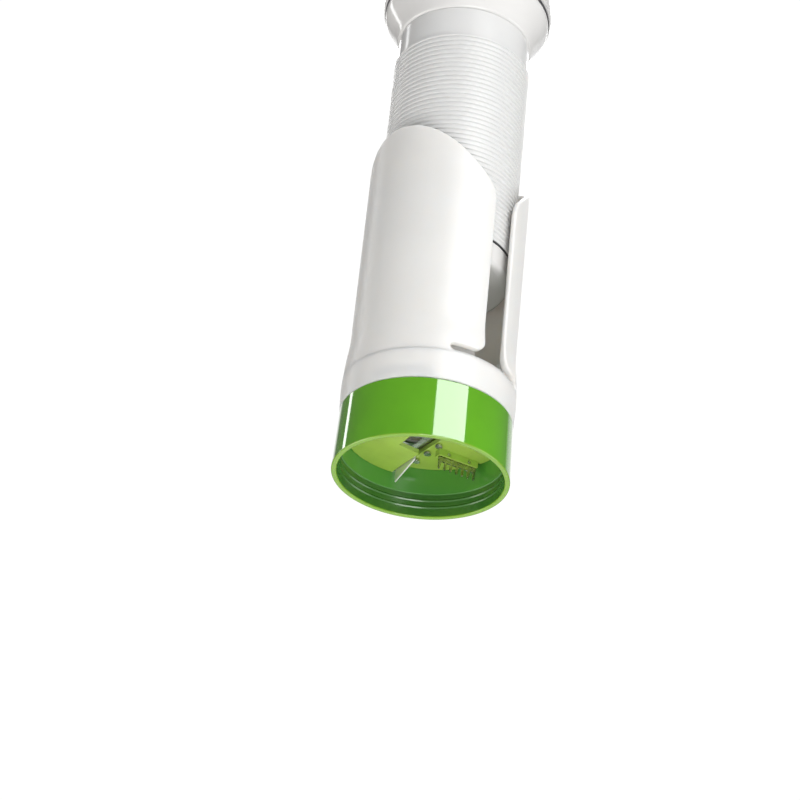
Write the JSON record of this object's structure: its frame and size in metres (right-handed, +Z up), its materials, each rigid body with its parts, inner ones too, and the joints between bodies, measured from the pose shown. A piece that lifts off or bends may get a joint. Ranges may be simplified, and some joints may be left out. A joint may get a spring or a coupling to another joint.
{
  "type": "hand-held spiralizer",
  "caption": "Hand-held spiralizer with a threaded plunger under a round knob, two squeeze grips on a collar, and a bladed cutter head.",
  "frame": {"origin": "centre of the cutter head's rim, which the part stands on", "axes": "+Z up along the plunger's axis, -Y towards the front grip, +X and -X through the gaps between the grips"},
  "size_m": [0.077, 0.077, 0.262],
  "materials": {
    "white_body": "satin moulded plastic",
    "white_gloss": "glossy moulded plastic",
    "green_head": "glossy moulded plastic",
    "lime_plate": "glossy translucent plastic",
    "steel": "ground stainless steel",
    "dark_grey": "matt plastic",
    "seal_grey": "silicone rubber"
  },
  "bodies": {
    "housing": {"body_collar": "white_body", "head_seal": "seal_grey"},
    "grip_front": {"front_grip": "white_body"},
    "grip_rear": {"rear_grip": "white_body"},
    "glide": {"glide_ring": "dark_grey"},
    "plunger": {"feed_tube": "white_body", "food_holder": "white_gloss", "prong_plate": "steel", "prong_screw_1": "steel", "prong_screw_2": "steel", "prong_screw_3": "steel", "knob_shell": "white_gloss", "knob_trim_ring": "dark_grey", "knob_cap": "white_gloss", "knob_screw_1": "steel", "knob_screw_2": "steel", "knob_screw_3": "steel"},
    "cutter_head": {"cutter_head_shell": "green_head", "cutting_plate": "lime_plate", "ribbon_blade": "steel", "ribbon_rivet_1": "steel", "ribbon_rivet_2": "steel", "ribbon_rivet_3": "steel", "slice_guide": "steel", "comb_blade": "steel", "comb_pin_1": "steel", "comb_pin_2": "steel"}
  },
  "joints": [
    {"name": "front_squeeze", "type": "hinge", "parent": "housing", "child": "grip_front", "pos_m": [0, -0.0209, 0.0423], "axis": [-1, 0, 0], "range_deg": [0, 0.7], "stiffness_Nm_per_rad": 20},
    {"name": "rear_squeeze", "type": "hinge", "parent": "housing", "child": "grip_rear", "pos_m": [0, 0.0209, 0.0423], "axis": [1, 0, 0], "range_deg": [0, 0.7], "stiffness_Nm_per_rad": 20},
    {"name": "plunger_feed", "type": "slide", "parent": "housing", "child": "glide", "axis": [0, 0, -1], "range_m": [-0.0241, 0.0601]},
    {"name": "plunger_turn", "type": "hinge", "parent": "glide", "child": "plunger", "pos_m": [0, 0, 0.15], "axis": [0, 0, -1], "range_deg": [-3600, 9000]},
    {"name": "head_twist", "type": "hinge", "parent": "housing", "child": "cutter_head", "pos_m": [0, 0, 0.03], "axis": [0, 0, 1], "range_deg": [0, 30]}
  ],
  "couplings": [
    {"joint": "plunger_feed", "follows": "plunger_turn", "m_per_rad": 0.00038197}
  ]
}
